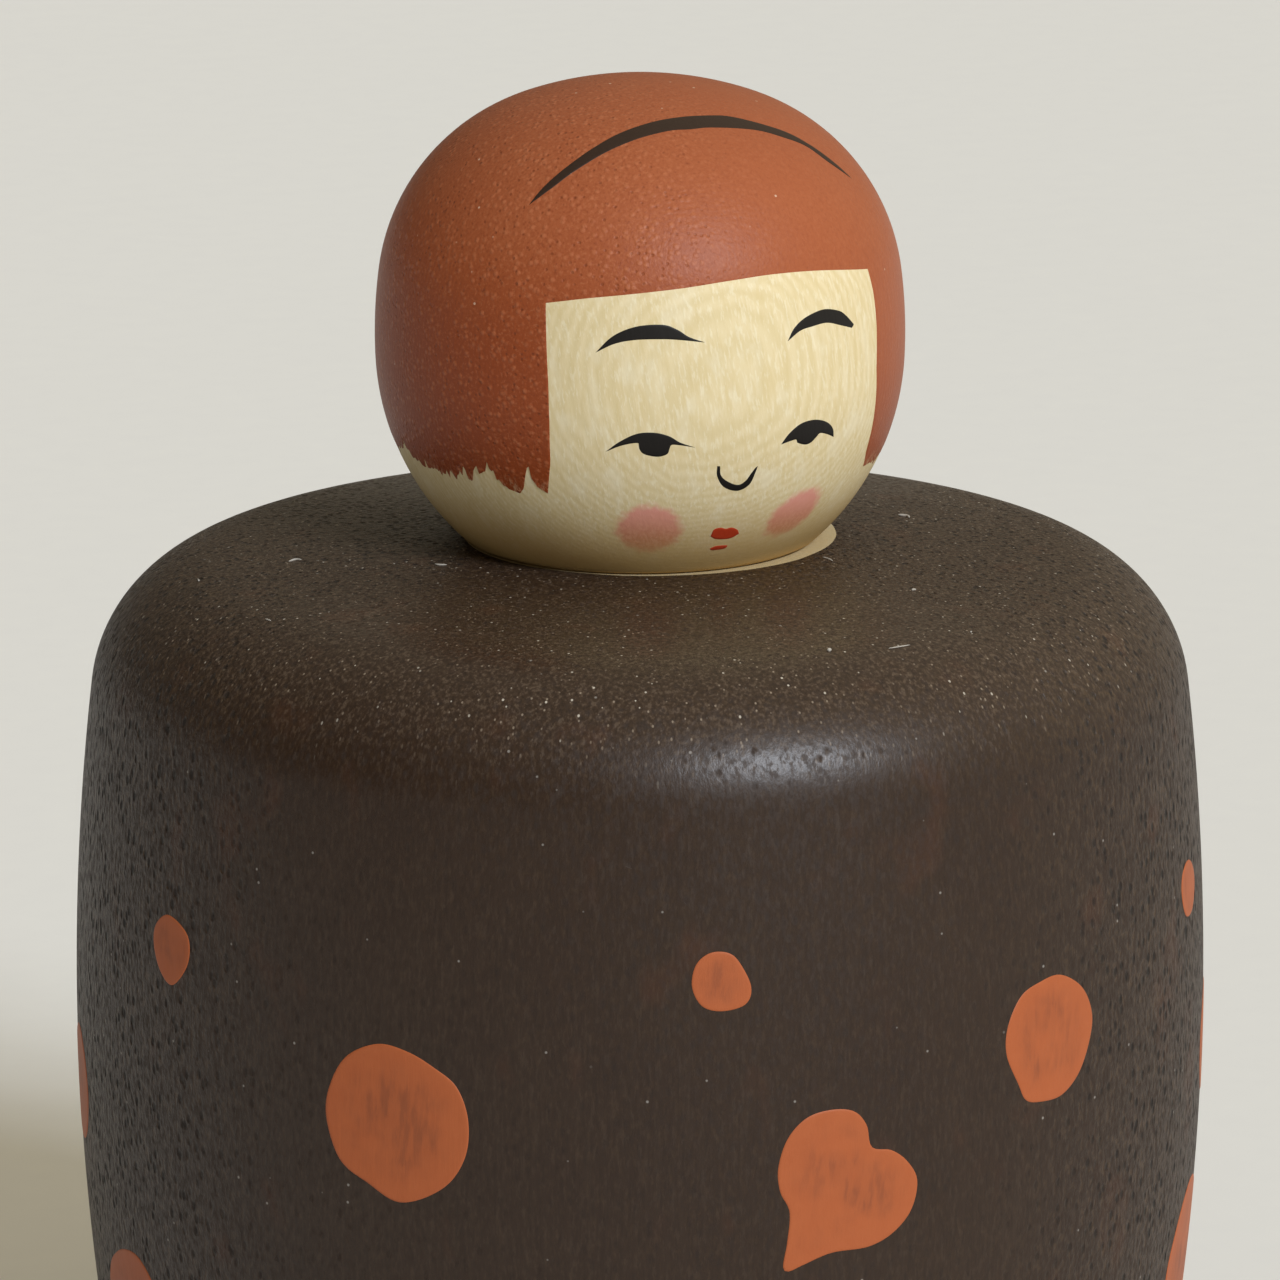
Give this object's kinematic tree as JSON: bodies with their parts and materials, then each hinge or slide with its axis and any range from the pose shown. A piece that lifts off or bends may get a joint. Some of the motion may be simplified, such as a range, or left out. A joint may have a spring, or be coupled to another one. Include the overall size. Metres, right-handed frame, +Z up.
{
  "type": "kokeshi doll",
  "caption": "Small turned wooden doll with a barrel body, a squat round head that turns on a dowel, and painted hair, face, heart and spots.",
  "frame": {"origin": "centre of the foot, on the surface the doll stands on", "axes": "+Z up along the lathe axis of body and head; -Y is the doll's front, the way its face and heart look; +X is the side of the doll's own left hand"},
  "size_m": [0.06, 0.06, 0.0822],
  "materials": {
    "painted_body": "dark brown matt paint over turned wood",
    "bare_wood": "pale cream turned wood with a thin clear coat",
    "dowel_wood": "plain beech dowel",
    "hair_paint": "chestnut matt paint",
    "line_paint": "black brush lines",
    "lip_paint": "deep red paint, brushed thin on lips and cheeks"
  },
  "bodies": {
    "body": {"body": "painted_body"},
    "head": {"head": "bare_wood", "neck_peg": "dowel_wood"}
  },
  "joints": [
    {"name": "head_turn", "type": "hinge", "parent": "body", "child": "head", "pos_m": [0, 0, 0.05773], "axis": [0, 0, 1], "continuous": true}
  ]
}
